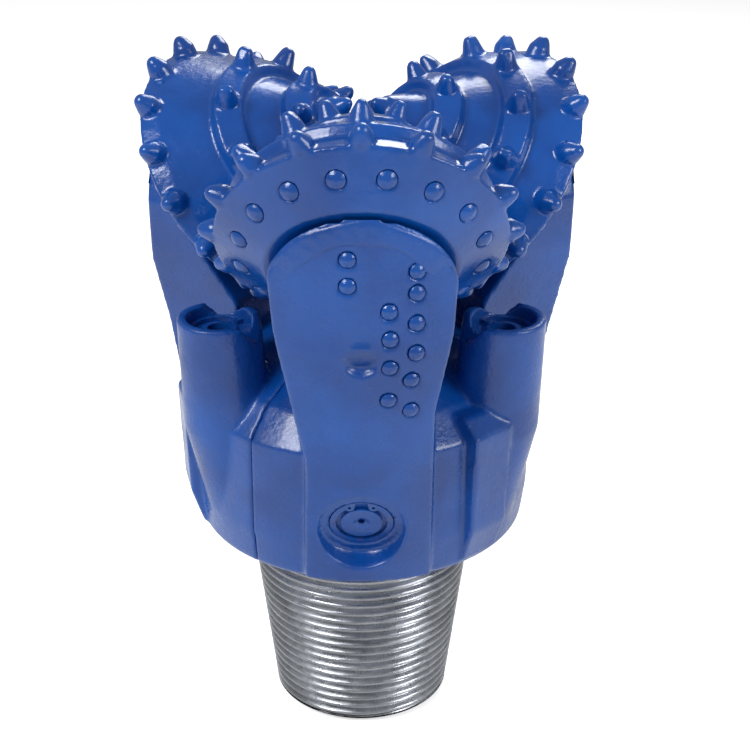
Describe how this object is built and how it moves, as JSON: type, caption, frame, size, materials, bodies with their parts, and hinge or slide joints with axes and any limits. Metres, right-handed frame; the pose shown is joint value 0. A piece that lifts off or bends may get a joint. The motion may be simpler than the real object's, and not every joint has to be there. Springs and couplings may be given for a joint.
{
  "type": "tricone drill bit",
  "caption": "Roller-cone drill bit with three free-turning insert cones, jet nozzles, grease reservoirs and a tapered threaded pin.",
  "frame": {"origin": "centre of the pin's end face", "axes": "+Z along the bit's axis from the pin towards the cones, leg 1 at -Y"},
  "size_m": [0.2158, 0.2066, 0.3451],
  "materials": {
    "blue_paint": "gloss",
    "painted_carbide": "gloss",
    "pin_steel": "satin",
    "bearing_steel": "gloss",
    "carbide": "satin",
    "bronze": "satin",
    "rubber": "matte"
  },
  "bodies": {
    "body": {"pin_connection": "pin_steel", "leg_1": "blue_paint", "ball_plug_1": "blue_paint", "reservoir_cup_1": "bearing_steel", "reservoir_diaphragm_1": "rubber", "reservoir_cap_1": "blue_paint", "reservoir_snap_ring_1": "blue_paint", "nozzle_1": "carbide", "nozzle_o_ring_1": "rubber", "nozzle_retaining_ring_1": "bearing_steel", "leg_buttons_1": "painted_carbide", "leg_2": "blue_paint", "ball_plug_2": "blue_paint", "reservoir_cup_2": "bearing_steel", "reservoir_diaphragm_2": "rubber", "reservoir_cap_2": "blue_paint", "reservoir_snap_ring_2": "blue_paint", "nozzle_2": "carbide", "nozzle_o_ring_2": "rubber", "nozzle_retaining_ring_2": "bearing_steel", "leg_buttons_2": "painted_carbide", "leg_3": "blue_paint", "ball_plug_3": "blue_paint", "reservoir_cup_3": "bearing_steel", "reservoir_diaphragm_3": "rubber", "reservoir_cap_3": "blue_paint", "reservoir_snap_ring_3": "blue_paint", "nozzle_3": "carbide", "nozzle_o_ring_3": "rubber", "nozzle_retaining_ring_3": "bearing_steel", "leg_buttons_3": "painted_carbide"},
    "cone_1": {"cone_1": "blue_paint", "cone_1_gauge_inserts": "painted_carbide", "cone_1_heel_buttons": "painted_carbide", "cone_1_middle_inserts": "painted_carbide", "cone_1_inner_inserts": "painted_carbide", "journal_bushing_1": "bronze", "thrust_washer_1": "bronze", "seal_ring_1": "rubber"},
    "ball_train_1": {"retention_balls_1": "bearing_steel"},
    "cone_2": {"cone_2": "blue_paint", "cone_2_gauge_inserts": "painted_carbide", "cone_2_heel_buttons": "painted_carbide", "cone_2_middle_inserts": "painted_carbide", "cone_2_inner_inserts": "painted_carbide", "journal_bushing_2": "bronze", "thrust_washer_2": "bronze", "seal_ring_2": "rubber"},
    "ball_train_2": {"retention_balls_2": "bearing_steel"},
    "cone_3": {"cone_3": "blue_paint", "cone_3_gauge_inserts": "painted_carbide", "cone_3_heel_buttons": "painted_carbide", "cone_3_middle_inserts": "painted_carbide", "cone_3_inner_inserts": "painted_carbide", "journal_bushing_3": "bronze", "thrust_washer_3": "bronze", "seal_ring_3": "rubber"},
    "ball_train_3": {"retention_balls_3": "bearing_steel"}
  },
  "joints": [
    {"name": "cone_1_spin", "type": "hinge", "parent": "body", "child": "cone_1", "pos_m": [0, 0, 0.325], "axis": [0, -0.8165, -0.5773], "continuous": true},
    {"name": "ball_train_1_spin", "type": "hinge", "parent": "body", "child": "ball_train_1", "pos_m": [0, 0, 0.325], "axis": [0, -0.8165, -0.5773], "continuous": true},
    {"name": "cone_2_spin", "type": "hinge", "parent": "body", "child": "cone_2", "pos_m": [0, 0, 0.325], "axis": [0.7071, 0.4083, -0.5773], "continuous": true},
    {"name": "ball_train_2_spin", "type": "hinge", "parent": "body", "child": "ball_train_2", "pos_m": [0, 0, 0.325], "axis": [0.7071, 0.4083, -0.5773], "continuous": true},
    {"name": "cone_3_spin", "type": "hinge", "parent": "body", "child": "cone_3", "pos_m": [0, 0, 0.325], "axis": [-0.7071, 0.4083, -0.5773], "continuous": true},
    {"name": "ball_train_3_spin", "type": "hinge", "parent": "body", "child": "ball_train_3", "pos_m": [0, 0, 0.325], "axis": [-0.7071, 0.4083, -0.5773], "continuous": true}
  ],
  "couplings": [
    {"joint": "ball_train_1_spin", "follows": "cone_1_spin", "ratio": 0.61},
    {"joint": "ball_train_2_spin", "follows": "cone_2_spin", "ratio": 0.61},
    {"joint": "ball_train_3_spin", "follows": "cone_3_spin", "ratio": 0.61}
  ]
}
